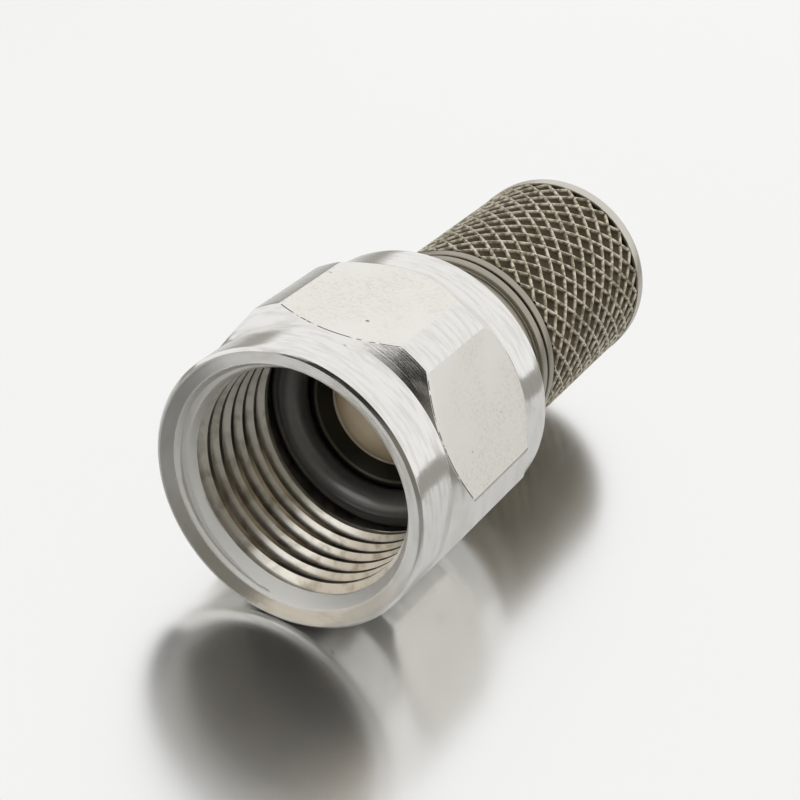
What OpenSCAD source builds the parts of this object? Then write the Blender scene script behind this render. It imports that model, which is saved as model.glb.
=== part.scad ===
// Twist-on F connector for coaxial cable.
// A threaded coupling nut turns freely on a flanged post, a rubber ring seals
// the joint, and a knurled body with an inner thread screws onto the cable.
// The connector lies on a flat of the nut: its axis runs along Y, its mouth
// faces -Y and its cable end faces +Y. "Depth" is counted from the mouth.

/* [Coupling nut] */
// Width across the nut's flats
nut_af = 11.1; // [10.5:0.05:12.5]
// Diameter that the nut's corners are turned down to
nut_corner_d = 12.2; // [11.6:0.05:12.4]
// Length of the nut
nut_len = 10.15; // [9.2:0.05:13]
// Diameter of the plain turned collars in front of and behind the flats
collar_d = 11.06; // [10.4:0.02:11.1]
// Length of the front collar
collar_len = 2.25; // [1.5:0.05:3]
// Length of the front corner taper
front_taper = 0.65; // [0.4:0.05:1.2]
// Length of the full-width part of the corners
land_len = 4.35; // [3:0.05:4.8]
// Length of the rear corner taper
rear_taper = 1.15; // [0.5:0.05:1.4]
// Edge break on the nut's outer rims
rim_break = 0.12; // [0.05:0.01:0.3]
// Thickness of the wall at the back of the nut
nut_web = 1.3; // [0.8:0.05:1.6]

/* [Port thread] */
// Major diameter of the nut's internal thread
thread_d = 9.525; // [9.4:0.005:9.6]
// Pitch of the thread
thread_pitch = 0.794; // [0.5:0.001:1]
// Radial depth of the thread
thread_depth = 0.4; // [0.25:0.01:0.5]
// Width of the flat edge of the lip
lip_flat = 0.06; // [0.02:0.01:0.1]
// Depth of the dished lip inside that edge
lip_dish = 0.28; // [0.1:0.02:0.4]
// Diameter of the mouth behind the dished lip
mouth_d = 9.72; // [9.6:0.02:9.74]
// Depth at which the thread starts, behind the tapered lead-in
lead_in = 1.1; // [0.6:0.05:1.6]

/* [Seal ring] */
// Thickness of the rubber ring's round section
ring_section = 1.45; // [1.1:0.05:1.5]

/* [Post] */
// Bore for the cable's insulated core
post_bore_d = 4.8; // [3.8:0.05:5]
// Wall of the post's thin barrel
barrel_wall = 0.35; // [0.25:0.05:0.4]
// Length of the barrel behind the neck
barrel_len = 6.3; // [4:0.1:7.5]
// Length of the tapered tip of the barrel
tip_len = 0.9; // [0.4:0.1:1.5]
// Wall left at the very end of the barrel
tip_wall = 0.12; // [0.08:0.01:0.2]
// Diameter of the neck that the nut turns on
neck_d = 6.3; // [6:0.05:6.4]
// Length of the neck that is pressed into the body
press_len = 2; // [1.2:0.1:2.6]
// Diameter of the flange that holds the nut
flange_d = 8.6; // [8:0.05:8.65]
// Thickness of the flange
flange_t = 1.1; // [0.7:0.05:1.3]
// Height of the nose in front of the flange
nose_len = 0.55; // [0.3:0.05:0.7]
// Wall of the nose at its front face
nose_lip = 0.25; // [0.1:0.05:0.35]

/* [Knurled body] */
// Length of the body
body_len = 13.05; // [11.5:0.05:16]
// Diameter of the plain rings and the rear band
body_d = 8.5; // [8.4:0.05:9.5]
// Diameter of the plain shank behind the nut
shank_d = 8.1; // [7.4:0.05:8.3]
// Length of the plain shank
shank_len = 2.4; // [1.5:0.05:3]
// Number of thin turned rings in front of the knurl
bead_count = 2; // [1:1:3]
// Width of each turned ring
bead_w = 0.42; // [0.25:0.01:0.5]
// Width of the groove behind each ring
bead_gap = 0.17; // [0.1:0.01:0.3]
// Length of the plain band behind the knurl
band_len = 0.82; // [0.7:0.02:1.5]
// Radius of the rounded rear edge
rear_round = 0.55; // [0.2:0.05:0.6]

/* [Knurl] */
// Diameter over the knurl's ridges
knurl_d = 8.44; // [8.3:0.01:9.4]
// Number of pits around the body
knurl_count = 27; // [20:1:32]
// Depth of the pits
knurl_depth = 0.24; // [0.12:0.01:0.28]
// Width of the ridges between the pits
ridge_w = 0.12; // [0.06:0.01:0.2]

/* [Cable thread] */
// Bore between the threads that bite into the cable's jacket
cable_bore_d = 6.7; // [6:0.05:6.8]
// Pitch of the cable thread
cable_pitch = 1.1; // [0.8:0.05:1.6]
// Radial depth of the cable thread
cable_depth = 0.2; // [0.15:0.01:0.3]
// Diameter of the plain entry for the cable
entry_d = 7.5; // [7.2:0.05:7.6]
// Length of the plain entry, with its chamfer
entry_len = 2.4; // [1.5:0.1:3]
// Chamfer of the entry at the rear face
entry_chamfer = 0.08; // [0.04:0.01:0.12]

/* [Clearances] */
// Radial running clearance of the nut on the neck
run_gap = 0.05; // [0.02:0.01:0.1]
// End float on each side of the nut's rear wall
float_gap = 0.08; // [0.04:0.01:0.15]
// Clearance round the seal ring
ring_gap = 0.03; // [0.01:0.01:0.08]

/* [Hidden] */
$fn = 96;
// A small overlap for cuts and joined shapes
eps = 0.01;
thread_angle = 60;
// Least width of the flat rear face
rear_flat = 0.05;
// Metal between the knurl's pits and the core below them
pit_floor = 0.02;
// How far the knurl's skin reaches into the core, and past its first and last rows
skin_sink = 0.12;
skin_lap = 0.06;

// Depths of the seats, worked out from the back of the nut towards its mouth
web_face = nut_len - nut_web;
flange_back = web_face - float_gap;
flange_face = flange_back - flange_t;
ring_front = flange_face - ring_gap - ring_section;
nose_face = flange_face - nose_len;
thread_turns = floor((ring_front - lead_in) / thread_pitch);
thread_end = lead_in + thread_turns * thread_pitch;

// Depths along the nut's outline
land_start = collar_len + front_taper;
land_end = land_start + land_len;
rear_start = land_end + rear_taper;

// The body follows the nut
body_start = nut_len + float_gap;
body_end = body_start + body_len;
neck_end = body_start + press_len;
bead_start = body_start + shank_len;
knurl_start = bead_start + bead_count * (bead_w + bead_gap);
knurl_end = body_end - band_len;
entry_start = body_end - entry_len;

// Radii that follow from the sizes above
body_r = body_d / 2;
entry_r = entry_d / 2;
bore_r = post_bore_d / 2;
neck_r = neck_d / 2;
relief_r = thread_d / 2;
ring_r = relief_r - ring_gap - ring_section / 2;
nose_r = ring_r - ring_section / 2 - ring_gap;
ridge_r = knurl_d / 2;
pit_r = ridge_r - knurl_depth;
core_r = pit_r - pit_floor;
skin_r = core_r - skin_sink;
// The rounded rear edge leaves a thin flat face round the entry
edge_r = min(rear_round, body_r - entry_r - entry_chamfer - rear_flat);

// Rows lie half a pit apart and make whole pits, each about as long as it is wide
pit_pitch = PI * knurl_d / knurl_count;
knurl_rows = 2 * round((knurl_end - knurl_start) / pit_pitch);
row_step = (knurl_end - knurl_start) / knurl_rows;

// Lays a shape that is turned about +Z, mouth down, on the nut's lower flat
module lay() translate([0, -body_end / 2, nut_af / 2]) rotate([-90, 0, 0]) children();

// A shape turned from its half outline: points are [radius, depth]
module turned(outline) rotate_extrude() polygon(outline);

// Half outline of one V groove of a thread, cut outwards from radius r
function v_groove(r, depth, pitch, at) =
    let (flat = pitch / 8, half = flat / 2 + depth * tan(thread_angle / 2))
    [[r, at - half], [r + depth, at - flat / 2], [r + depth, at + flat / 2], [r, at + half]];

// Half outline of a threaded bore wall: the grooves in order along the depth
function thread_wall(r, depth, pitch, start, turns) =
    [for (k = [0:turns - 1]) each v_groove(r, depth, pitch, start + (k + 0.5) * pitch)];

// ---- Coupling nut ----
module nut_envelope() {
    turned([
        [0, 0], [collar_d / 2 - rim_break, 0], [collar_d / 2, rim_break],
        [collar_d / 2, collar_len], [nut_corner_d / 2, land_start],
        [nut_corner_d / 2, land_end], [collar_d / 2, rear_start],
        [collar_d / 2, nut_len - rim_break], [collar_d / 2 - rim_break, nut_len], [0, nut_len]
    ]);
}

module nut_cavity() {
    crest_r = thread_d / 2 - thread_depth;
    dish_r = collar_d / 2 - rim_break - lip_flat;
    turned(concat(
        [[0, -eps], [dish_r, -eps], [dish_r, 0], [mouth_d / 2, lip_dish], [crest_r, lead_in]],
        thread_wall(crest_r, thread_depth, thread_pitch, lead_in, thread_turns),
        [[crest_r, thread_end], [relief_r, thread_end], [relief_r, web_face], [0, web_face]]
    ));
    translate([0, 0, web_face - eps]) cylinder(r = neck_r + run_gap, h = nut_web + 2 * eps);
}

module coupling_nut() {
    color("gainsboro") lay() difference() {
        intersection() {
            nut_envelope();
            cylinder(d = nut_af / cos(30), h = nut_len, $fn = 6);
        }
        nut_cavity();
    }
}

// ---- Seal ring ----
module seal_ring() {
    color("dimgray") lay() translate([0, 0, ring_front + ring_section / 2])
        rotate_extrude() translate([ring_r, 0]) circle(d = ring_section, $fn = 48);
}

// ---- Post ----
// A countersunk nose, the flange, the neck and a thin barrel with a tapered tip
module post() {
    barrel_r = bore_r + barrel_wall;
    post_end = neck_end + barrel_len;
    color("burlywood") lay() turned([
        [bore_r, flange_face], [nose_r - nose_lip, nose_face], [nose_r, nose_face],
        [nose_r, flange_face], [flange_d / 2, flange_face], [flange_d / 2, flange_back],
        [neck_r, flange_back], [neck_r, neck_end], [barrel_r, neck_end],
        [barrel_r, post_end - tip_len], [bore_r + tip_wall, post_end], [bore_r, post_end]
    ]);
}

// ---- Knurled body ----
// Place on the knurl: row i along the body and place j around it, in half pits.
// A ridge crosses another where i + j is odd, and a pit lies where it is even.
function knurl_at(i, j, r, shift = 0) =
    let (a = j * 180 / knurl_count)
    [r * cos(a), r * sin(a), knurl_start + i * row_step + shift];

// Number of the point where ridges cross, in a list of knurl_count to a row
function cross_at(i, j) =
    i * knurl_count + floor(((j + 2 * knurl_count) % (2 * knurl_count)) / 2);

// Flat ridge strips and sloping walls of one pit. Its cell has corners at left,
// back, right and front; m is its own first point, for its rim and its bottom.
function pit_faces(cell, m) = [
    for (q = [0:3])
        let (a = cell[q], b = cell[(q + 1) % 4], c = m + q, d = m + (q + 1) % 4)
        each [[a, b, d], [a, d, c], [c, d, m + 4]]
];

// The knurl's skin: a closed drum of ridges round diamond pits
module knurl_drum() {
    n = knurl_count;
    rows = knurl_rows;
    // How far a pit's rim lies inside its cell, in half pits
    inset = ridge_w * sqrt(2) / pit_pitch;
    reach = 1 - inset;
    turns = [0:n - 1];

    crossings = [for (i = [0:rows]) for (k = turns) knurl_at(i, 2 * k + 1 - i % 2, ridge_r)];
    pits = [for (i = [1:rows - 1]) for (k = turns) let (j = 2 * k + i % 2) each [
        knurl_at(i, j - reach, ridge_r), knurl_at(i + reach, j, ridge_r),
        knurl_at(i, j + reach, ridge_r), knurl_at(i - reach, j, ridge_r),
        knurl_at(i, j, pit_r)
    ]];
    // Rings that close the drum: outer and inner, at the front and at the back
    rings = [
        for (k = turns) knurl_at(0, 2 * k + 1, ridge_r, -skin_lap),
        for (k = turns) knurl_at(0, 2 * k + 1, skin_r, -skin_lap),
        for (k = turns) knurl_at(rows, 2 * k + 1, ridge_r, skin_lap),
        for (k = turns) knurl_at(rows, 2 * k + 1, skin_r, skin_lap)
    ];

    first_pit = len(crossings);
    front = first_pit + len(pits);
    front_in = front + n;
    back = front_in + n;
    back_in = back + n;
    last_row = rows * n;

    faces = [
        for (i = [1:rows - 1]) for (k = turns)
            let (j = 2 * k + i % 2, m = first_pit + 5 * ((i - 1) * n + k))
            each pit_faces([cross_at(i, j - 1), cross_at(i + 1, j),
                            cross_at(i, j + 1), cross_at(i - 1, j)], m),
        for (k = turns) let (j = 2 * k) [cross_at(0, j - 1), cross_at(1, j), cross_at(0, j + 1)],
        for (k = turns) let (j = 2 * k)
            [cross_at(rows, j - 1), cross_at(rows, j + 1), cross_at(rows - 1, j)],
        for (k = turns) let (l = (k + 1) % n) each [
            [front + k, k, l, front + l],
            [last_row + k, back + k, back + l, last_row + l],
            [front + k, front + l, front_in + l, front_in + k],
            [back + k, back_in + k, back_in + l, back + l],
            [front_in + k, front_in + l, back_in + l, back_in + k]
        ]
    ];
    polyhedron(concat(crossings, pits, rings), faces, convexity = 8);
}

// Turned outline of the body: shank, thin rings, the knurl's core and the band
module body_core() {
    ring_step = bead_w + bead_gap;
    turned([
        [0, body_start], [shank_d / 2 - rim_break, body_start],
        [shank_d / 2, body_start + rim_break], [shank_d / 2, bead_start],
        for (k = [0:bead_count - 1]) let (at = bead_start + k * ring_step) each [
            [body_r, at], [body_r, at + bead_w], [core_r, at + bead_w], [core_r, at + ring_step]
        ],
        [core_r, knurl_end], [body_r, knurl_end],
        for (a = [0:15:90])
            [body_r - edge_r * (1 - cos(a)), body_end - edge_r * (1 - sin(a))],
        [0, body_end]
    ]);
}

// Bore pressed onto the neck, the cable thread and the plain entry
module body_cavity() {
    bite_r = cable_bore_d / 2;
    turns = floor((entry_start - neck_end) / cable_pitch);
    start = entry_start - turns * cable_pitch;
    turned(concat(
        [[0, body_start - eps], [neck_r, body_start - eps], [neck_r, neck_end], [bite_r, neck_end]],
        thread_wall(bite_r, cable_depth, cable_pitch, start, turns),
        [[bite_r, entry_start], [entry_r, entry_start], [entry_r, body_end - entry_chamfer],
         [entry_r + entry_chamfer, body_end], [entry_r + entry_chamfer, body_end + eps],
         [0, body_end + eps]]
    ));
}

module knurled_body() {
    color("darkgray") lay() difference() {
        union() {
            body_core();
            knurl_drum();
        }
        body_cavity();
    }
}

coupling_nut();
seal_ring();
post();
knurled_body();
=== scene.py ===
import math

import bmesh
import bpy
import numpy as np
from mathutils import Matrix, Vector


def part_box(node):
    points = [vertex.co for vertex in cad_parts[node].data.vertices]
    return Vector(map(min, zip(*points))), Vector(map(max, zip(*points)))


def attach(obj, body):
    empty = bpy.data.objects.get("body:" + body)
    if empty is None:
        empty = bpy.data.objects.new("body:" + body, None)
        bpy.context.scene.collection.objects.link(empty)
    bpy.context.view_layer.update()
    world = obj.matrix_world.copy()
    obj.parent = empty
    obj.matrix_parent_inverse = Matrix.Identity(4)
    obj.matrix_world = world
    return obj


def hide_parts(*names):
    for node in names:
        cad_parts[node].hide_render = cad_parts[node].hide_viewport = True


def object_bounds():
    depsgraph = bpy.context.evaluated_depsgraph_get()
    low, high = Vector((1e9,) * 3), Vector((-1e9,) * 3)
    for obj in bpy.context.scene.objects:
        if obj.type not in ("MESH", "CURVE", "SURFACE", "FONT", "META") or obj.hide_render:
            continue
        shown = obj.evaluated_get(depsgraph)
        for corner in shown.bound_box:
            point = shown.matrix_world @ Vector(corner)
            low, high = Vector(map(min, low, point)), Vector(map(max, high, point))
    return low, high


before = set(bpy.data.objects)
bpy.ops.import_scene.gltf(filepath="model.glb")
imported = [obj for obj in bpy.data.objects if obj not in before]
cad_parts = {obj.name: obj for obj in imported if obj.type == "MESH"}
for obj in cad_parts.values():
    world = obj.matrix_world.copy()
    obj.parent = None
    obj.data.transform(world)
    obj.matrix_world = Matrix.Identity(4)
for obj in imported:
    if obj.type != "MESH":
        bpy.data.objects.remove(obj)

# A twist-on F connector: nickel-plated turned brass with a black rubber ring.
# Sizes are in millimetres, as a turner's drawing gives them. "Depth" runs along
# the connector's axis, from the mouth of the nut towards the cable end.
MM = 0.001
CAD_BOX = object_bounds()

# ---- Coupling nut ----
NUT_AF = 11.1
NUT_CORNER_R = 6.1
NUT_LEN = 10.15
COLLAR_R = 5.53
COLLAR_LEN = 2.25
LAND_START = 2.9
LAND_END = 7.25
REAR_START = 8.4
RIM_BREAK = 0.12
LIP_FLAT = 0.06
LIP_DISH = 0.23
WEB_FACE = 8.85
HOLE_R = 3.2
MOUTH_R = 4.86
THREAD_R = 4.7625
THREAD_CREST_R = 4.3625
THREAD_PITCH = 0.794
THREAD_START = 1.1
THREAD_END = 6.02

# ---- Seal ring ----
RING_SECTION_R = 0.725
RING_R = 4.0075
RING_DEPTH = 6.915

# ---- Post ----
POST_BORE_R = 2.4
NOSE_R = 3.2525
NOSE_RIM = 0.25
NOSE_FACE = 7.12
FLANGE_FACE = 7.67
FLANGE_BACK = 8.77
FLANGE_R = 4.3
NECK_R = 3.15
NECK_END = 12.23
BARREL_R = 2.75
BARREL_END = 18.53
BARREL_TAPER = 0.9
TIP_WALL = 0.12

# ---- Knurled body ----
BODY_START = 10.23
BODY_END = 23.28
BODY_R = 4.25
BODY_BREAK = 0.12
SHANK_R = 4.05
BEADS = ((12.63, 13.05), (13.22, 13.64))
KNURL_START = 13.81
KNURL_END = 22.46
KNURL_COUNT = 27
KNURL_ROWS = 18
RIDGE_R = 4.22
KNURL_DEPTH = 0.24
CORE_R = 3.96
EDGE_ROUND = 0.37
ENTRY_R = 3.75
ENTRY_CHAMFER = 0.08
ENTRY_DEPTH = 20.88
BITE_R = 3.35
BITE_ROOT_R = 3.55
BITE_PITCH = 1.1
BITE_START = NECK_END + 0.4

# ---- Fine shape ----
# The nut's columns, in degrees: their step on a flat, how far short of its edge the steps stop, how they
# crowd round that edge, and at which parts of the way from it to the corner's middle they lie
FLAT_STEP = 1.3
FLAT_MARGIN = 2.2
EDGE_CROWD = (-1.6, -0.8, -0.35, -0.1, 0.12, 0.4, 0.9)
LAND_PARTS = (0.42, 0.7)
# Columns round the seal ring and the post, and rows round the ring's section
ROUND_COLUMNS = 180
RING_ROWS = 48
# Rows to one turn of a thread
THREAD_STEPS = 16
BITE_STEPS = 12
# Degrees beyond which an edge stays sharp
SMOOTH_ANGLE = 34
# Largest share of a straight stretch that a rounded corner takes
ROUND_SHARE = 0.45
# Depth in the post's bore where its outline starts and ends
BORE_SEAM = 12
# Soft blend where a flat meets a turned corner
EDGE_BLEND = 0.008
# Steps round each rounded corner, and degrees to a step round the body's rear edge
ROUND_STEPS = 3
EDGE_STEP = 10
# Slope of the plain cone that leads into the cable thread
BITE_LEAD = 0.9
# Width of a knurl ridge's flat and start of a pit's floor, as shares of half a pit
RIDGE_FLAT = 0.1
PIT_FLOOR = 0.85
# How far, in radians, a face of the hexagon's flats may turn away from its flat
FLAT_TURN = 0.02
# Points closer than this, in metres, are one
WELD = 2e-8

# ---- Finish: widths of marks, in millimetres ----
# Tool rings, drawn three times as coarse as real ones so that they show
LATHE_SPACING = 0.09
# Frost on drawn flats and grit on turned faces, both drawn coarser than real so that they show
GRAIN_SIZE = 0.12
# Areas of a flat that are more speckled and duller than others
CLOUD_SIZE = 2.5
# Smudges, and how many times shorter they are along the axis than across it
SMUDGE_SIZE = 1.1
SMUDGE_SQUEEZE = (1, 5, 1)
# Stains in the mouth, and patches in the knurl's dark fill of dirt and painted shade
STAIN_SIZE = 0.6
# Scuffs on the knurl's ridges
SCUFF_SIZE = 0.22
# Spacing of spots, of which only the strongest become pinholes
FLECK_SIZE = 0.4
# Patches of bloom on the rubber
BLOOM_SIZE = 0.3
# The burr along a flat's front edge, and its breaks
BURR_WIDTH = 0.09
BURR_BREAK = 0.35
# The knurl's dark fill, partly dirt and partly painted shade, starts this far below its ridges and is full at
# this share of its depth
DIRT_AND_SHADE_START = 0.01
DIRT_AND_SHADE_FULL = 0.45

# ---- Finish: the part of a noise's range from 0 to 1 over which each mark fades in ----
SMUDGES = {"From Min": 0.4, "From Max": 0.7}
STAINS = {"From Min": 0.42, "From Max": 0.72}
FLECKS = {"From Min": 0.84, "From Max": 0.9}
SPECKLES = {"From Min": 0.45, "From Max": 0.7}
SPECKLED_AREAS = {"From Min": 0.3, "From Max": 0.6}
DULL_AREAS = {"From Min": 0.3, "From Max": 0.7}
BURRS = {"From Min": 0.42, "From Max": 0.5}
SCUFFS = {"From Min": 0.38, "From Max": 0.62}

# ---- Finish: where one finish fades into the next, as depths and radii in millimetres ----
# The mouth's frosted lead-in, and the mouth itself, which ends at the lip and at the wall that holds the post
LEAD_IN_DEPTHS = {"From Min": THREAD_START + 0.1, "From Max": THREAD_START}
MOUTH_RADII = {"From Min": MOUTH_R + 0.08, "From Max": MOUTH_R - 0.02}
MOUTH_DEPTHS = {"From Min": WEB_FACE + 0.1, "From Max": WEB_FACE}
# How far past the front cone a flat's burr reaches
BURR_DEPTHS = {"From Min": BURR_WIDTH, "From Max": BURR_WIDTH / 2}
# The knurl's pits, the grooves between the shank's thin rings, the shank, all of the outside, the rear band
PIT_RADII = {"From Min": RIDGE_R - DIRT_AND_SHADE_START, "From Max": RIDGE_R - DIRT_AND_SHADE_FULL * KNURL_DEPTH}
GROOVE_RADII = {"From Min": CORE_R + 0.06, "From Max": CORE_R + 0.02}
SHANK_DEPTHS = {"From Min": KNURL_START + 0.02, "From Max": KNURL_START - 0.02}
OUTSIDE_RADII = {"From Min": CORE_R - 0.08, "From Max": CORE_R - 0.04}
BAND_DEPTHS = {"From Min": KNURL_END - 0.05, "From Max": KNURL_END + 0.05}
# The post's nose, the part of it away from the edge with its painted highlight, and the rim round the bore
# with its painted highlight
NOSE_DEPTHS = {"From Min": FLANGE_FACE + 0.03, "From Max": FLANGE_FACE - 0.03}
OFF_EDGE = {"From Min": 0.03, "From Max": 0.08}
RIM_RADII = {"From Min": POST_BORE_R + 0.1, "From Max": POST_BORE_R + 0.05}

# ---- Finish: roughness, from the clearest part of each finish to its dullest ----
TURNED_ROUGH = {"To Min": 0.1, "To Max": 0.2}
MOUTH_ROUGH = {"To Min": 0.25, "To Max": 0.36}
DRAWN_ROUGH = {"To Min": 0.36, "To Max": 0.46}
KNURL_ROUGH = {"To Min": 0.3, "To Max": 0.55}
POST_ROUGH = {"To Min": 0.28, "To Max": 0.4}
RUBBER_ROUGH = {"To Min": 0.26, "To Max": 0.42}

# ---- Finish: how strongly surface marks show, and how deep they are in millimetres ----
TURNED_MARKS = (0.11, 0.012)
DRAWN_MARKS = (0.15, 0.01)
KNURL_MARKS = (0.4, 0.015)
POST_MARKS = (0.3, 0.012)
RUBBER_MARKS = (0.15, 0.02)
# The frosted lead-in scatters some light, so it is less of a metal mirror
FROSTED = {"To Min": 1.0, "To Max": 0.38}

# ---- View and stage ----
CAMERA_LENS = 85.5
CAMERA_CLIP = (1, 10000)
# Turn round the part, rise above the floor and lean, in degrees
CAMERA_TURN = (25.24, 30.05, 7.07)
# The camera's place, in millimetres from the middle of the mouth
CAMERA_PLACE = (27.33, -49.41, 36.95)
# The tent's open front: which way its middle lies, in degrees from straight ahead of the mouth, and the
# angles from there over which the dark room fades into the tent
OPENING_TURN = 8
OPENING_REACH = (64, 70)
# The cream card in the opening's left half, seen from the mouth, and how tall it is for its width
CARD_TURN = -46
CARD_REACH = (26, 36)
CARD_TALL = 0.8
TENT_POWER = 1.07
# Heights, as the sine of the angle above the horizon, over which the tent meets the table, the room darkens
# upwards, and the plain backdrop dims upwards
TABLE_EDGE = {"From Min": -0.02, "From Max": 0.0}
ROOM_TOP = {"From Min": 0.4, "From Max": 0.72}
BACKDROP_RISE = {"From Min": -0.05, "From Max": 0.25}
# The soft lamp: its turn and rise in degrees from the mouth, its distance and width, and its watts
LAMP_WAY = (-18, 32)
LAMP_REACH = 300
LAMP_SIZE = 150
LAMP_POWER = 0.07
# A duller spot of the tent behind the connector's left: its turn, its reach and its height for its width
SPOT_TURN = -138
SPOT_REACH = (7, 17)
SPOT_TALL = 0.8
# The sheet that the connector lies on, which runs away from the camera and fades out at its long edges
FLOOR_LENGTH = 1200
FLOOR_WIDTH = 80
FLOOR_FADE = 5
SHEET_ROUGH = 0.22
# How much of a mirror that sheet is, and the duller one that the metal sees, and how far below it that lies
SHEET_MIRROR = 0.98
DULLER_MIRROR = 0.5
FLOOR_GAP = 0.02
# The disc lamp that only the polished sheet mirrors: its distance, width and watts
DISC_REACH = 300
DISC_SIZE = 1350
DISC_POWER = 3.8


def axis_frame():
    """Where the connector's axis lies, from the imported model: its height and the mouth's place."""
    low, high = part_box("coupling_nut")
    return (low[2] + high[2]) / 2, low[1]


AXIS_Z, MOUTH_Y = axis_frame()


def in_space(radius, angle, depth):
    """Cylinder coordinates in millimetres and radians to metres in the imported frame."""
    x = radius * np.cos(angle) * MM
    z = radius * np.sin(angle) * MM + AXIS_Z
    y = depth * MM + MOUTH_Y
    return np.stack(np.broadcast_arrays(x, y, z), axis=-1)


# ---------------------------------------------------------------- mesh making
def weld(mesh, smooth_angle):
    """Joins touching points, drops flat slivers, turns faces outwards and shades them smooth."""
    work = bmesh.new()
    work.from_mesh(mesh)
    bmesh.ops.remove_doubles(work, verts=work.verts, dist=WELD)
    bmesh.ops.dissolve_degenerate(work, dist=WELD, edges=work.edges)
    bmesh.ops.recalc_face_normals(work, faces=work.faces)
    for face in work.faces:
        face.smooth = True
    work.to_mesh(mesh)
    work.free()
    mesh.set_sharp_from_angle(angle=math.radians(smooth_angle))


def make_piece(name, parts, body, node, material, smooth_angle=SMOOTH_ANGLE):
    """Makes one closed piece from (points, faces) parts. It stands for a CAD node and rides on its body."""
    points, faces, first = [], [], 0
    for part_points, part_faces in parts:
        points.extend(part_points.tolist())
        faces.extend(tuple(first + v for v in face) for face in part_faces)
        first += len(part_points)
    mesh = bpy.data.meshes.new(name)
    mesh.from_pydata(points, [], faces)
    weld(mesh, smooth_angle)
    mesh.materials.append(material)
    piece = bpy.data.objects.new(name, mesh)
    bpy.context.scene.collection.objects.link(piece)
    shading = piece.modifiers.new("even_shading", "WEIGHTED_NORMAL")
    shading.keep_sharp = True
    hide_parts(node)
    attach(piece, body)
    return piece


def skin(angles, rows, closed=False):
    """Points and faces of a surface turned about the axis. Each row is a (depth, radius) pair, of
    numbers or of one value for each angle. The last angle lies on the first, and welding joins them."""
    if closed:
        rows = rows + rows[:1]
    points = np.concatenate([in_space(radius, angles, depth) for depth, radius in rows])
    columns = len(angles)
    corner = (np.arange(len(rows) - 1)[:, None] * columns + np.arange(columns - 1)).ravel()
    faces = np.stack([corner, corner + 1, corner + columns + 1, corner + columns], axis=1)
    return points, faces.tolist()


def turned_rows(stations, angles):
    """Rows of a turned outline. A station is (depth, radius, rounding, runs): rounding is the size of
    its rounded corner, and runs is how many steps the straight stretch after it takes."""
    shape = np.ones(len(angles))
    spots = [np.stack([depth * shape, radius * shape]) for depth, radius, _, _ in stations]
    ends = []
    for i, (_, _, rounding, _) in enumerate(stations):
        here = spots[i]
        if not rounding:
            ends.append([here])
            continue
        back, ahead = spots[i - 1] - here, spots[i + 1] - here
        back_len, ahead_len = np.hypot(*back), np.hypot(*ahead)
        cos = (back * ahead).sum(0) / (back_len * ahead_len)
        reach = rounding * np.sqrt((1 + cos) / (1 - cos))
        reach = np.minimum(reach, ROUND_SHARE * np.minimum(back_len, ahead_len))
        start, stop = here + back / back_len * reach, here + ahead / ahead_len * reach
        ends.append([(1 - t) ** 2 * start + 2 * t * (1 - t) * here + t * t * stop
                     for t in np.linspace(0, 1, ROUND_STEPS + 1)])
    rows = []
    for i, corner in enumerate(ends):
        rows.extend(corner)
        if i + 1 < len(ends):
            runs = stations[i][3]
            rows.extend(corner[-1] + (ends[i + 1][0] - corner[-1]) * k / runs for k in range(1, runs))
    return [(row[0], row[1]) for row in rows]


def even_angles(count):
    """Angles round a full turn, with the first repeated at the end."""
    return np.linspace(0, 2 * math.pi, count + 1)


# ---------------------------------------------------------------- threads
def thread_height(turns, crest, root):
    """Radius of an internal 60 degree thread, a given number of turns along it: a flat crest a
    quarter of the pitch wide, straight flanks and a root an eighth wide."""
    from_crest = np.abs((turns + 0.5) % 1 - 0.5)
    rise = np.clip((from_crest - 0.125) / 0.3125, 0, 1)
    return crest + (root - crest) * rise


def thread_rows(angles, crest, root, pitch, start, end, steps, lead_slope):
    """Rows that follow a right-hand internal thread, held between two depths at its ends."""
    lead = (angles - angles[0]) / (2 * math.pi)
    count = math.ceil((end - start) / pitch * steps) + steps
    rows = []
    for k in range(count + 1):
        depth = np.clip(start + (k / steps - lead) * pitch, start, end)
        turns = (depth - start) / pitch + lead
        # The lead-in's cone cuts the first crest back
        cone = root - (depth - start) * lead_slope
        rows.append((depth, np.maximum(thread_height(turns, crest, root), cone)))
    return rows


# ---------------------------------------------------------------- coupling nut
def nut_angles():
    """Angles of the nut's columns: close together at the edges between flats and corners."""
    edge = math.degrees(math.acos(NUT_AF / 2 / NUT_CORNER_R))
    near = [edge + step for step in EDGE_CROWD]
    flat = list(np.arange(0, edge - FLAT_MARGIN, FLAT_STEP))
    land = [edge + (30 - edge) * t for t in LAND_PARTS]
    half = flat + near + land
    one_side = [-a for a in half[:0:-1]] + half + [30]
    spots = [side * 60 + 90 + a for side in range(6) for a in one_side]
    return np.radians(spots + [spots[0] + 360])


def corner_radius(angles):
    """The nut's radius along its full length: the hexagon, with its corners turned down."""
    from_flat = (angles - math.pi / 2 + math.pi / 6) % (math.pi / 3) - math.pi / 6
    hexagon = NUT_AF / 2 / np.cos(from_flat)
    return -EDGE_BLEND * np.logaddexp(-hexagon / EDGE_BLEND, -NUT_CORNER_R / EDGE_BLEND)


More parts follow.
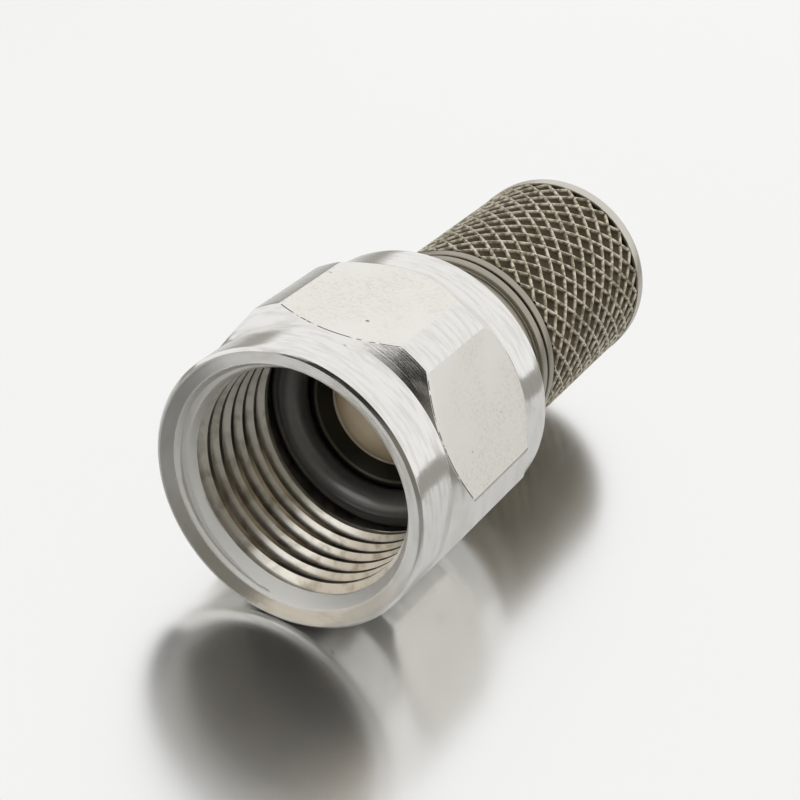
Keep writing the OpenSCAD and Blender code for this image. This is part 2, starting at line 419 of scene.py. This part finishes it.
def coupling_nut(turned, drawn):
    """The hexagon nut: cones and a collar at both ends, a threaded mouth, and a wall at its rear that holds
    the post. Its flats keep the finish of the drawn bar, and all the rest is turned."""
    angles = nut_angles()
    top = corner_radius(angles)
    # How far up the end cones each column's top lies, from 0 at the collar to 1 at a full corner
    rise = (top - COLLAR_R) / (NUT_CORNER_R - COLLAR_R)
    slope = (MOUTH_R - THREAD_CREST_R) / (THREAD_START - LIP_DISH)
    start = LIP_DISH + (MOUTH_R - THREAD_R) / slope
    thread = thread_rows(angles, THREAD_CREST_R, THREAD_R, THREAD_PITCH, start, THREAD_END,
                         THREAD_STEPS, slope)
    shell = turned_rows([
        (*thread[0], 0, 2),
        (LIP_DISH, MOUTH_R, 0.03, 4),
        (0, COLLAR_R - RIM_BREAK - LIP_FLAT, 0.02, 1),
        (0, COLLAR_R - RIM_BREAK, 0.02, 1),
        (RIM_BREAK, COLLAR_R, 0.04, 6),
        (COLLAR_LEN, COLLAR_R, 0.025, 1),
        (COLLAR_LEN + rise * (LAND_START - COLLAR_LEN), top, 0.025, 12),
        (LAND_END + (1 - rise) * (REAR_START - LAND_END), top, 0.06, 2),
        (REAR_START, COLLAR_R, 0.08, 5),
        (NUT_LEN - RIM_BREAK, COLLAR_R, 0.04, 1),
        (NUT_LEN, COLLAR_R - RIM_BREAK, 0.04, 4),
        (NUT_LEN, HOLE_R, 0.06, 2),
        (WEB_FACE, HOLE_R, 0.05, 3),
        (WEB_FACE, THREAD_R, 0.06, 4),
        (THREAD_END, THREAD_R, 0, 1),
        (*thread[-1], 0, 1),
    ], angles)
    rows = shell + thread[-2::-1]
    nut = make_piece("coupling_nut_shell", [skin(angles, rows)],
                     "nut", "coupling_nut", turned)
    nut.data.materials.append(drawn)
    for face in nut.data.polygons:
        face.material_index = int(on_flat(face))
    return nut


def on_flat(face):
    """Whether a face is part of one of the nut's six flats."""
    side = math.atan2(face.normal.z, face.normal.x)
    from_flat = (side - math.pi / 2 + math.pi / 6) % (math.pi / 3) - math.pi / 6
    height = (face.center - Vector((0, 0, AXIS_Z))).dot(face.normal) / MM
    faces_out = abs(face.normal.y) < FLAT_TURN and abs(from_flat) < FLAT_TURN
    return faces_out and abs(height - NUT_AF / 2) < EDGE_BLEND


# ---------------------------------------------------------------- seal ring
def seal_ring(material):
    """The rubber ring, round in section, which lies on the post's flange round its nose."""
    angles = even_angles(ROUND_COLUMNS)
    rows = [(RING_DEPTH + RING_SECTION_R * math.sin(t), RING_R + RING_SECTION_R * math.cos(t))
            for t in np.linspace(0, 2 * math.pi, RING_ROWS, endpoint=False)]
    return make_piece("rubber_seal_ring", [skin(angles, rows, closed=True)],
                      "nut", "seal_ring", material)


# ---------------------------------------------------------------- post
def post(material):
    """The tube that takes the cable's core: a nose inside the rubber ring, a flange that holds the nut, a
    neck that is pressed into the body, and a barrel that goes in under the cable's jacket."""
    angles = even_angles(ROUND_COLUMNS)
    rows = turned_rows([
        (BORE_SEAM, POST_BORE_R, 0, 6),
        (FLANGE_FACE, POST_BORE_R, 0.05, 2),
        (NOSE_FACE, NOSE_R - NOSE_RIM, 0.04, 1),
        (NOSE_FACE, NOSE_R, 0.06, 2),
        (FLANGE_FACE, NOSE_R, 0.08, 2),
        (FLANGE_FACE, FLANGE_R, 0.08, 2),
        (FLANGE_BACK, FLANGE_R, 0.08, 2),
        (FLANGE_BACK, NECK_R, 0.06, 4),
        (NECK_END, NECK_R, 0.06, 1),
        (NECK_END, BARREL_R, 0.05, 6),
        (BARREL_END - BARREL_TAPER, BARREL_R, 0.15, 2),
        (BARREL_END, POST_BORE_R + TIP_WALL, 0.03, 1),
        (BARREL_END, POST_BORE_R, 0.03, 6),
        (BORE_SEAM, POST_BORE_R, 0, 1),
    ], angles)
    return make_piece("flanged_post", [skin(angles, rows)], "plug", "post", material)


# ---------------------------------------------------------------- knurled body
HALF_PIT = math.pi / KNURL_COUNT
ROW_STEP = (KNURL_END - KNURL_START) / KNURL_ROWS
# Places across one pit, from ridge to ridge, closer together on its walls
PIT_GRID = np.array([-1, -0.91, -0.8, -0.62, -0.35, 0, 0.35, 0.62, 0.8, 0.91, 1])


def knurl_radius(a, b):
    """Radius on a pit's cell, whose two ways across, a and b, run from ridge to ridge."""
    from_ridge = np.minimum(1 - np.abs(a), 1 - np.abs(b))
    t = np.clip((from_ridge - RIDGE_FLAT) / (PIT_FLOOR - RIDGE_FLAT), 0, 1)
    return RIDGE_R - KNURL_DEPTH * t * (2 - t)


def knurl_skin():
    """All the knurl's pits: each is a diamond cell with its grid along the ridges. Cells on the first
    and last row are cut in half."""
    n = len(PIT_GRID) - 1
    a, b = np.meshgrid(PIT_GRID, PIT_GRID, indexing="ij")
    radius = knurl_radius(a, b).ravel()
    across, along = ((a - b) / 2).ravel(), ((a + b) / 2).ravel()
    points, faces = [], []
    for row in range(KNURL_ROWS + 1):
        half = {0: 1, KNURL_ROWS: -1}.get(row, 0)
        cell = cell_faces(n, half)
        for place in range(KNURL_COUNT):
            angle = (2 * place + row % 2 + across) * HALF_PIT
            depth = KNURL_START + (row + along) * ROW_STEP
            first = len(points) * len(radius)
            points.append(in_space(radius, angle, depth))
            faces.extend(tuple(first + v for v in face) for face in cell)
    return np.concatenate(points), faces


def cell_faces(n, half):
    """Faces of one cell of n by n steps. Half is 1 for its rear half only, -1 for its front half."""
    faces = []
    for p in range(n):
        for q in range(n):
            corners = [(p, q), (p + 1, q), (p + 1, q + 1), (p, q + 1)]
            kept = [c for c in corners if not half or (c[0] + c[1] - n) * half >= 0]
            if len(kept) > 2:
                faces.append(tuple(i * (n + 1) + j for i, j in kept))
    return faces


def knurled_body(material):
    """The sleeve that is twisted onto the cable: a shank with two thin rings, the knurled grip, a plain band
    with a rounded edge at the rear, and inside it a coarse thread that bites into the jacket."""
    places = np.arange(KNURL_COUNT)[:, None] * 2 + PIT_GRID[:-1]
    angles = np.append(places.ravel(), 2 * KNURL_COUNT - 1) * HALF_PIT
    rim = np.append(np.tile(knurl_radius(PIT_GRID[:-1], -PIT_GRID[:-1]), KNURL_COUNT), RIDGE_R)
    bite = thread_rows(angles, BITE_R, BITE_ROOT_R, BITE_PITCH, BITE_START, ENTRY_DEPTH,
                       BITE_STEPS, BITE_LEAD)
    front = [(KNURL_START, rim, 0, 1), (KNURL_START, CORE_R, 0.03, 1)]
    for bead_start, bead_end in reversed(BEADS):
        front += [(bead_end, CORE_R, 0.03, 1), (bead_end, BODY_R, 0.05, 2), (bead_start, BODY_R, 0.05, 1)]
        front += [(bead_start, CORE_R, 0.03, 1)] if bead_start != BEADS[0][0] else []
    front += [
        (BEADS[0][0], SHANK_R, 0.04, 4),
        (BODY_START + BODY_BREAK, SHANK_R, 0.04, 1),
        (BODY_START, SHANK_R - BODY_BREAK, 0.04, 1),
        (BODY_START, NECK_R, 0.03, 3),
        (NECK_END, NECK_R, 0, 1),
        (*bite[0], 0, 1),
    ]
    rear = [
        (*bite[-1], 0, 1),
        (ENTRY_DEPTH, ENTRY_R, 0, 4),
        (BODY_END - ENTRY_CHAMFER, ENTRY_R, 0.02, 1),
        (BODY_END, ENTRY_R + ENTRY_CHAMFER, 0.02, 1),
        (BODY_END, BODY_R - EDGE_ROUND, 0.02, 1),
    ]
    rear += [(BODY_END - EDGE_ROUND * (1 - math.sin(t)), BODY_R - EDGE_ROUND * (1 - math.cos(t)), 0, 1)
             for t in np.radians(np.arange(90 - EDGE_STEP, 0, -EDGE_STEP))]
    rear += [(BODY_END - EDGE_ROUND, BODY_R, 0, 2), (KNURL_END, BODY_R, 0.03, 1), (KNURL_END, rim, 0, 1)]
    parts = [
        skin(angles, turned_rows(front, angles)[:-1] + bite + turned_rows(rear, angles)[1:]),
        knurl_skin(),
    ]
    return make_piece("knurled_sleeve", parts, "plug", "knurled_body", material)


# ---------------------------------------------------------------- materials
# Settings that many nodes share. A mix takes its share of the second as input 0, two colours as inputs 6 and
# 7, and two numbers as inputs 2 and 3.
SMOOTH = {"interpolation_type": "SMOOTHSTEP"}
COLOUR = {"data_type": "RGBA"}
NUMBER = {"data_type": "FLOAT"}
TIMES = {"operation": "MULTIPLY"}
PLUS = {"operation": "ADD"}
MINUS = {"operation": "SUBTRACT"}


def linear(code):
    """An sRGB hex colour as linear values with full opacity."""
    parts = [int(code[i:i + 2], 16) / 255 for i in (1, 3, 5)]
    return [c / 12.92 if c <= 0.04045 else ((c + 0.055) / 1.055) ** 2.4 for c in parts] + [1.0]


def add(tree, kind, inputs=None, **settings):
    """Adds a node with its settings and links. An input is a plain value, a hex colour, an output socket to
    link from, or a node to link from by its first output in use."""
    node = tree.nodes.new(kind)
    for key, value in settings.items():
        setattr(node, key, value)
    for key, value in (inputs or {}).items():
        if isinstance(value, bpy.types.Node):
            value = next(socket for socket in value.outputs if socket.enabled)
        if isinstance(value, bpy.types.NodeSocket):
            tree.links.new(value, node.inputs[key])
        else:
            node.inputs[key].default_value = linear(value) if isinstance(value, str) else value
    return node


def new_material(name):
    """An empty material, its tree, and the object's own coordinates in millimetres."""
    material = bpy.data.materials.new(name)
    material.use_nodes = True
    tree = material.node_tree
    tree.nodes.clear()
    place = add(tree, "ShaderNodeTexCoord")
    scaled = add(tree, "ShaderNodeVectorMath", {0: place.outputs["Object"], 3: 1 / MM}, operation="SCALE")
    return material, tree, scaled.outputs["Vector"]


def turned_place(tree, place):
    """Where a point lies for a lathe tool: its distance from the axis, and its depth, in millimetres."""
    split = add(tree, "ShaderNodeSeparateXYZ", {0: place})
    height = add(tree, "ShaderNodeMath", {0: split.outputs["Z"], 1: AXIS_Z / MM}, **MINUS)
    flat = add(tree, "ShaderNodeCombineXYZ", {"X": split.outputs["X"], "Y": height})
    radius = add(tree, "ShaderNodeVectorMath", {0: flat}, operation="LENGTH")
    depth = add(tree, "ShaderNodeMath", {0: split.outputs["Y"], 1: MOUTH_Y / MM}, **MINUS)
    return radius, depth


def lathe_marks(tree, radius, depth):
    """Fine rings left by the turning tool, as a value from 0 to 1. Rings on end faces follow the radius
    and rings on round faces follow the depth, and each ring fades in and out a little."""
    run = add(tree, "ShaderNodeMath", {0: radius, 1: depth}, **PLUS)
    return add(tree, "ShaderNodeTexNoise", {"W": run, "Scale": 1 / LATHE_SPACING, "Detail": 3.0,
                                            "Roughness": 0.6}, noise_dimensions="1D")


def metal(tree, tint, rough, height, marks, mirror=1.0):
    """Metal plate as the material's result. Marks are the strength and depth of the surface marks. Mirror
    is below 1 where the plate is so frosted that it scatters light."""
    strength, depth = marks
    bump = add(tree, "ShaderNodeBump", {"Height": height, "Strength": strength, "Distance": depth * MM})
    shader = add(tree, "ShaderNodeBsdfPrincipled", {
        "Base Color": tint, "Metallic": mirror, "Roughness": rough, "Normal": bump})
    add(tree, "ShaderNodeOutputMaterial", {"Surface": shader})


def flecked(tree, place, plate):
    """A plate's colour with a few dark pinholes in it."""
    spots = add(tree, "ShaderNodeTexNoise", {"Vector": place, "Scale": 1 / FLECK_SIZE, "Detail": 0.0})
    hole = add(tree, "ShaderNodeMapRange", {"Value": spots, **FLECKS}, **SMOOTH)
    return add(tree, "ShaderNodeMix", {0: hole, 6: plate, 7: "#857f73"}, **COLOUR)


def turned_nickel():
    """Bright nickel plate on turned brass: a cool, nearly white mirror broken by fine tool rings and faint
    smudges. Inside the mouth the plate is thinner, warmer, duller and stained in patches, and its conical
    lead-in is frosted."""
    material, tree, place = new_material("turned_nickel_plate")
    radius, depth = turned_place(tree, place)
    rings = lathe_marks(tree, radius, depth)
    squeezed = add(tree, "ShaderNodeVectorMath", {0: place, 1: SMUDGE_SQUEEZE}, **TIMES)
    haze = add(tree, "ShaderNodeTexNoise", {"Vector": squeezed, "Scale": 1 / SMUDGE_SIZE, "Detail": 6.0})
    smudge = add(tree, "ShaderNodeMapRange", {"Value": haze, **SMUDGES}, **SMOOTH)
    smudged = add(tree, "ShaderNodeMix", {0: smudge, 6: "#e5e4e1", 7: "#d7d5cf"}, **COLOUR)
    outside = flecked(tree, place, smudged)
    patches = add(tree, "ShaderNodeTexNoise", {"Vector": place, "Scale": 1 / STAIN_SIZE, "Detail": 4.0})
    stain = add(tree, "ShaderNodeMapRange", {"Value": patches, **STAINS}, **SMOOTH)
    stained = add(tree, "ShaderNodeMix", {0: stain, 6: "#ebe7df", 7: "#c2bbae"}, **COLOUR)
    lead_in = add(tree, "ShaderNodeMapRange", {"Value": depth, **LEAD_IN_DEPTHS}, **SMOOTH)
    inside = add(tree, "ShaderNodeMix", {0: lead_in, 6: stained, 7: "#fbfaf6"}, **COLOUR)
    within = add(tree, "ShaderNodeMapRange", {"Value": radius, **MOUTH_RADII}, **SMOOTH)
    ahead = add(tree, "ShaderNodeMapRange", {"Value": depth, **MOUTH_DEPTHS}, **SMOOTH)
    mouth = add(tree, "ShaderNodeMath", {0: within, 1: ahead}, **TIMES)
    tint = add(tree, "ShaderNodeMix", {0: mouth, 6: outside, 7: inside}, **COLOUR)
    bright = add(tree, "ShaderNodeMapRange", {"Value": smudge, **TURNED_ROUGH}, **SMOOTH)
    dull = add(tree, "ShaderNodeMapRange", {"Value": lead_in, **MOUTH_ROUGH}, **SMOOTH)
    rough = add(tree, "ShaderNodeMix", {0: mouth, 2: bright, 3: dull}, **NUMBER)
    grit = add(tree, "ShaderNodeTexNoise", {"Vector": place, "Scale": 1 / GRAIN_SIZE, "Detail": 2.0})
    height = add(tree, "ShaderNodeMath", {0: rings, 1: grit}, **PLUS)
    frosted = add(tree, "ShaderNodeMath", {0: mouth, 1: lead_in}, **TIMES)
    mirror = add(tree, "ShaderNodeMapRange", {"Value": frosted, **FROSTED}, **SMOOTH)
    metal(tree, tint, rough, height, TURNED_MARKS, mirror)
    return material


def drawn_nickel():
    """Nickel plate over the drawn flats of hexagon bar: the same metal, frosted, with a faint beige
    speckle and a dark broken burr where each flat meets the front cone."""
    material, tree, place = new_material("drawn_nickel_plate")
    radius, depth = turned_place(tree, place)
    grain = add(tree, "ShaderNodeTexNoise", {"Vector": place, "Scale": 1 / GRAIN_SIZE, "Detail": 3.0})
    cloud = add(tree, "ShaderNodeTexNoise", {"Vector": place, "Scale": 1 / CLOUD_SIZE, "Detail": 3.0})
    speckle = add(tree, "ShaderNodeMapRange", {"Value": grain, **SPECKLES}, **SMOOTH)
    area = add(tree, "ShaderNodeMapRange", {"Value": cloud, **SPECKLED_AREAS}, **SMOOTH)
    beige = add(tree, "ShaderNodeMath", {0: speckle, 1: area}, **TIMES)
    speckled = add(tree, "ShaderNodeMix", {0: beige, 6: "#e8e6e0", 7: "#e0dacd"}, **COLOUR)
    plate = flecked(tree, place, speckled)
    # The front cone's depth at this radius, and how far past it this point lies
    slope = (LAND_START - COLLAR_LEN) / (NUT_CORNER_R - COLLAR_R)
    cone = add(tree, "ShaderNodeMath", {0: radius, 1: slope, 2: COLLAR_LEN - COLLAR_R * slope},
               operation="MULTIPLY_ADD")
    past = add(tree, "ShaderNodeMath", {0: depth, 1: cone}, **MINUS)
    edge = add(tree, "ShaderNodeMapRange", {"Value": past, **BURR_DEPTHS}, **SMOOTH)
    gaps = add(tree, "ShaderNodeTexNoise", {"Vector": place, "Scale": 1 / BURR_BREAK, "Detail": 3.0})
    broken = add(tree, "ShaderNodeMapRange", {"Value": gaps, **BURRS}, **SMOOTH)
    burr = add(tree, "ShaderNodeMath", {0: edge, 1: broken}, **TIMES)
    tint = add(tree, "ShaderNodeMix", {0: burr, 6: plate, 7: "#4a463c"}, **COLOUR)
    rough = add(tree, "ShaderNodeMapRange", {"Value": cloud, **DULL_AREAS, **DRAWN_ROUGH}, **SMOOTH)
    metal(tree, tint, rough, grain, DRAWN_MARKS)
    return material


def knurled_nickel():
    """Nickel plate on rolled knurling: worn ridges, scuffed and uneven, round dull, oily-brown pits, darkened
    partly by dirt and partly by painted shade. The plain shank in front of it is painted darker, partly as
    dirt from handling and partly as painted shade cast by the nut, and the inside is plain."""
    material, tree, place = new_material("knurled_nickel_plate")
    radius, depth = turned_place(tree, place)
    # Dirt and painted shade darken the knurl's pits, and on the shank the grooves between the thin rings
    pits = add(tree, "ShaderNodeMapRange", {"Value": radius, **PIT_RADII}, **SMOOTH)
    grooves = add(tree, "ShaderNodeMapRange", {"Value": radius, **GROOVE_RADII}, **SMOOTH)
    shank = add(tree, "ShaderNodeMapRange", {"Value": depth, **SHANK_DEPTHS}, **SMOOTH)
    deep = add(tree, "ShaderNodeMix", {0: shank, 2: pits, 3: grooves}, **NUMBER)
    outside = add(tree, "ShaderNodeMapRange", {"Value": radius, **OUTSIDE_RADII}, **SMOOTH)
    pit = add(tree, "ShaderNodeMath", {0: deep, 1: outside}, **TIMES)
    patches = add(tree, "ShaderNodeTexNoise", {"Vector": place, "Scale": 1 / STAIN_SIZE, "Detail": 3.0})
    # Dark brown in the pits and the shank's grooves: partly dirt, partly painted shade of these hollows
    dirt_and_shade = add(tree, "ShaderNodeMix", {0: patches, 6: "#3c372a", 7: "#6c6452"}, **COLOUR)
    scuff = add(tree, "ShaderNodeTexNoise", {"Vector": place, "Scale": 1 / SCUFF_SIZE, "Detail": 4.0})
    rubbed = add(tree, "ShaderNodeMapRange", {"Value": scuff, **SCUFFS}, **SMOOTH)
    worn = add(tree, "ShaderNodeMix", {0: rubbed, 6: "#857d69", 7: "#d6cdb9"}, **COLOUR)
    band = add(tree, "ShaderNodeMapRange", {"Value": depth, **BAND_DEPTHS}, **SMOOTH)
    ridge = add(tree, "ShaderNodeMix", {0: band, 6: worn, 7: "#c8c4bb"}, **COLOUR)
    # The shank is painted darker: partly dirt from handling, partly painted shade cast by the nut
    handled_and_shaded = add(tree, "ShaderNodeMix", {0: shank, 6: ridge, 7: "#9f998c"}, **COLOUR)
    with_dirt_and_shade = add(tree, "ShaderNodeMix", {0: pit, 6: handled_and_shaded, 7: dirt_and_shade}, **COLOUR)
    tint = add(tree, "ShaderNodeMix", {0: outside, 6: "#d3cfc6", 7: with_dirt_and_shade}, **COLOUR)
    rings = lathe_marks(tree, radius, depth)
    height = add(tree, "ShaderNodeMath", {0: rings, 1: scuff}, **PLUS)
    rough = add(tree, "ShaderNodeMapRange", {"Value": pit, **KNURL_ROUGH}, **SMOOTH)
    metal(tree, tint, rough, height, KNURL_MARKS)
    return material


def warm_nickel():
    """Thin nickel plate on the post: the brass below warms its bore to a pale tan. The nose, which lies
    against the rubber, is painted nearly black as shade, with a painted grey highlight along its edge and a
    painted highlight on the rim round the bore."""
    material, tree, place = new_material("warm_nickel_plate")
    radius, depth = turned_place(tree, place)
    rings = lathe_marks(tree, radius, depth)
    plate = add(tree, "ShaderNodeMix", {0: rings, 6: "#e2dbcf", 7: "#cfc5b4"}, **COLOUR)
    # The nose is painted nearly black as painted shade, with a painted grey highlight along its edge and a
    # painted highlight on the rim round the bore
    nose = add(tree, "ShaderNodeMapRange", {"Value": depth, **NOSE_DEPTHS}, **SMOOTH)
    past_edge = add(tree, "ShaderNodeMath", {0: radius, 1: NOSE_R - NOSE_RIM}, **MINUS)
    off_edge = add(tree, "ShaderNodeMath", {0: past_edge}, operation="ABSOLUTE")
    away_from_lit_edge = add(tree, "ShaderNodeMapRange", {"Value": off_edge, **OFF_EDGE}, **SMOOTH)
    dark = add(tree, "ShaderNodeMix", {0: away_from_lit_edge, 6: "#5f5d54", 7: "#33312a"}, **COLOUR)
    rim = add(tree, "ShaderNodeMapRange", {"Value": radius, **RIM_RADII}, **SMOOTH)
    nose_shade_and_highlights = add(tree, "ShaderNodeMix", {0: rim, 6: dark, 7: "#ddd5c9"}, **COLOUR)
    tint = add(tree, "ShaderNodeMix", {0: nose, 6: plate, 7: nose_shade_and_highlights}, **COLOUR)
    rough = add(tree, "ShaderNodeMapRange", {"Value": nose, **POST_ROUGH}, **SMOOTH)
    metal(tree, tint, rough, rings, POST_MARKS)
    return material


def black_rubber():
    """Moulded nitrile rubber: black, painted mid grey to stand in for the light falling on the ring, and
    patchy with bloom. The shiny film on its skin is a coat, stronger than a real one, so that a soft, wide
    highlight shows on so thin a ring."""
    material, tree, place = new_material("moulded_nitrile_rubber")
    bloom = add(tree, "ShaderNodeTexNoise", {"Vector": place, "Scale": 1 / BLOOM_SIZE, "Detail": 4.0})
    # The two greys are painted light: black rubber made lighter to stand in for the light on the ring
    tint = add(tree, "ShaderNodeMix", {0: bloom, 6: "#5e6060", 7: "#707272"}, **COLOUR)
    rough = add(tree, "ShaderNodeMapRange", {"Value": bloom, **RUBBER_ROUGH})
    strength, depth = RUBBER_MARKS
    bump = add(tree, "ShaderNodeBump", {"Height": bloom, "Strength": strength, "Distance": depth * MM})
    shader = add(tree, "ShaderNodeBsdfPrincipled", {
        "Base Color": tint, "Roughness": rough, "Specular IOR Level": 1.0, "Coat Weight": 1.0,
        "Coat Roughness": 0.2, "Coat IOR": 1.7, "Normal": bump})
    add(tree, "ShaderNodeOutputMaterial", {"Surface": shader})
    return material


# ---------------------------------------------------------------- stage
def sheet(name, mirror):
    """A polished pale sheet under the connector, a mirror to a part of 0 to 1. Its long edges fade out."""
    material, tree, place = new_material(name)
    shader = add(tree, "ShaderNodeBsdfPrincipled", {
        "Base Color": "#f1f1f0", "Metallic": mirror, "Roughness": SHEET_ROUGH})
    clear = add(tree, "ShaderNodeBsdfTransparent")
    split = add(tree, "ShaderNodeSeparateXYZ", {0: place})
    across = add(tree, "ShaderNodeMath", {0: split.outputs["X"]}, operation="ABSOLUTE")
    edge = add(tree, "ShaderNodeMapRange", {
        "Value": across, "From Min": FLOOR_WIDTH / 2 - FLOOR_FADE, "From Max": FLOOR_WIDTH / 2}, **SMOOTH)
    fading = add(tree, "ShaderNodeMixShader", {0: edge, 1: shader, 2: clear})
    add(tree, "ShaderNodeOutputMaterial", {"Surface": fading})
    x, y = FLOOR_WIDTH * MM / 2, FLOOR_LENGTH * MM / 2
    mesh = bpy.data.meshes.new(name)
    mesh.from_pydata([(-x, -y, 0), (x, -y, 0), (x, y, 0), (-x, y, 0)], [], [(0, 1, 2, 3)])
    mesh.materials.append(material)
    thing = bpy.data.objects.new(name, mesh)
    bpy.context.scene.collection.objects.link(thing)
    thing.location = (0, MOUTH_Y, CAD_BOX[0][2])
    thing.rotation_euler.z = math.radians(CAMERA_TURN[0])
    return thing


def floor():
    """The sheet that the connector lies on. A disc lamp lights it alone from in front, so that it looks
    pale from behind as well, and the metal mirrors a duller sheet just below it."""
    seen = sheet("polished_sheet", SHEET_MIRROR)
    seen.visible_glossy = seen.visible_diffuse = False
    duller = sheet("duller_sheet", DULLER_MIRROR)
    duller.visible_camera = False
    duller.location.z -= FLOOR_GAP * MM
    front = lamp("front_disc", "DISK", (OPENING_TURN, 0), DISC_REACH, DISC_SIZE, DISC_POWER)
    only = bpy.data.collections.new("polished_sheet_only")
    only.objects.link(seen)
    front.light_linking.receiver_collection = only


def studio():
    """A white tent over a dull table, with its front open onto a dark room, where a cream card throws light
    back into the mouth: bright metal mirrors all four, and a duller spot of the tent behind it. The camera
    sees a plain pale backdrop instead of them."""
    world = bpy.data.worlds.new("white_tent")
    bpy.context.scene.world = world
    world.use_nodes = True
    tree = world.node_tree
    tree.nodes.clear()
    look = add(tree, "ShaderNodeTexCoord").outputs["Generated"]
    rise = add(tree, "ShaderNodeSeparateXYZ", {0: look}).outputs["Z"]
    over_table = add(tree, "ShaderNodeMapRange", {"Value": rise, **TABLE_EDGE}, **SMOOTH)
    tent = add(tree, "ShaderNodeMix", {0: over_table, 6: "#a09e99", 7: "#fafafa"}, **COLOUR)
    spot = oval(tree, look, SPOT_TURN, SPOT_REACH, SPOT_TALL)
    spotted = add(tree, "ShaderNodeMix", {0: spot, 6: tent, 7: "#a8a6a0"}, **COLOUR)
    high = add(tree, "ShaderNodeMapRange", {"Value": rise, **ROOM_TOP}, **SMOOTH)
    room = add(tree, "ShaderNodeMix", {0: high, 6: "#7c7a72", 7: "#33312c"}, **COLOUR)
    opening = oval(tree, look, OPENING_TURN, OPENING_REACH, 1.0)
    opened = add(tree, "ShaderNodeMix", {0: opening, 6: spotted, 7: room}, **COLOUR)
    card = oval(tree, look, CARD_TURN, CARD_REACH, CARD_TALL)
    mirrored = add(tree, "ShaderNodeMix", {0: card, 6: opened, 7: "#cdc5b8"}, **COLOUR)
    raised = add(tree, "ShaderNodeMapRange", {"Value": rise, **BACKDROP_RISE}, **SMOOTH)
    backdrop = add(tree, "ShaderNodeMix", {0: raised, 6: "#fafafa", 7: "#ecedec"}, **COLOUR)
    path = add(tree, "ShaderNodeLightPath")
    tone = add(tree, "ShaderNodeMix", {0: path.outputs["Is Camera Ray"], 6: mirrored, 7: backdrop}, **COLOUR)
    light = add(tree, "ShaderNodeBackground", {"Color": tone, "Strength": TENT_POWER})
    add(tree, "ShaderNodeOutputWorld", {"Surface": light})


def oval(tree, look, turn, reach, tall):
    """1 inside an oval area of the tent and 0 outside it. Its middle lies level, at a turn in degrees from
    straight ahead of the mouth, reach is the half widths between which it fades, and tall stretches it."""
    squeezed = add(tree, "ShaderNodeVectorMath", {0: look, 1: (1, 1, 1 / tall)}, **TIMES)
    way = add(tree, "ShaderNodeVectorMath", {0: squeezed}, operation="NORMALIZE")
    turn = math.radians(turn)
    near = add(tree, "ShaderNodeVectorMath", {0: way, 1: (math.sin(turn), -math.cos(turn), 0)},
               operation="DOT_PRODUCT")
    inner, outer = (math.cos(math.radians(v)) for v in reach)
    return add(tree, "ShaderNodeMapRange", {"Value": near, "From Min": outer, "From Max": inner}, **SMOOTH)


def lamp(name, shape, way, reach, size, power):
    """A soft lamp that shines on the mouth. Way is its turn and rise from there in degrees, reach its
    distance and size its width in millimetres, and power its watts."""
    data = bpy.data.lights.new(name, "AREA")
    data.shape = shape
    data.size = size * MM
    data.energy = power
    light = bpy.data.objects.new(name, data)
    bpy.context.scene.collection.objects.link(light)
    turn, rise = (math.radians(v) for v in way)
    out = Vector((math.sin(turn) * math.cos(rise), -math.cos(turn) * math.cos(rise), math.sin(rise)))
    light.location = Vector((0, MOUTH_Y, AXIS_Z)) + out * reach * MM
    light.rotation_euler = out.to_track_quat("Z", "Y").to_euler()
    light.visible_camera = False
    return light


def camera():
    """Looks down into the mouth from in front and to the right, leaning a little."""
    data = bpy.data.cameras.new("camera")
    data.lens = CAMERA_LENS
    data.clip_start, data.clip_end = (MM * v for v in CAMERA_CLIP)
    eye = bpy.data.objects.new("camera", data)
    bpy.context.scene.collection.objects.link(eye)
    turn, rise, lean = (math.radians(v) for v in CAMERA_TURN)
    back = Vector((math.sin(turn) * math.cos(rise), -math.cos(turn) * math.cos(rise), math.sin(rise)))
    eye.rotation_mode = "QUATERNION"
    eye.rotation_quaternion = back.to_track_quat("Z", "Y") @ Matrix.Rotation(lean, 3, "Z").to_quaternion()
    eye.location = Vector((0, MOUTH_Y, AXIS_Z)) + Vector(CAMERA_PLACE) * MM
    bpy.context.scene.camera = eye


camera()
studio()
lamp("softbox", "SQUARE", LAMP_WAY, LAMP_REACH, LAMP_SIZE, LAMP_POWER)
floor()

coupling_nut(turned_nickel(), drawn_nickel())
seal_ring(black_rubber())
post(warm_nickel())
knurled_body(knurled_nickel())

bpy.context.scene.view_settings.view_transform = "Standard"
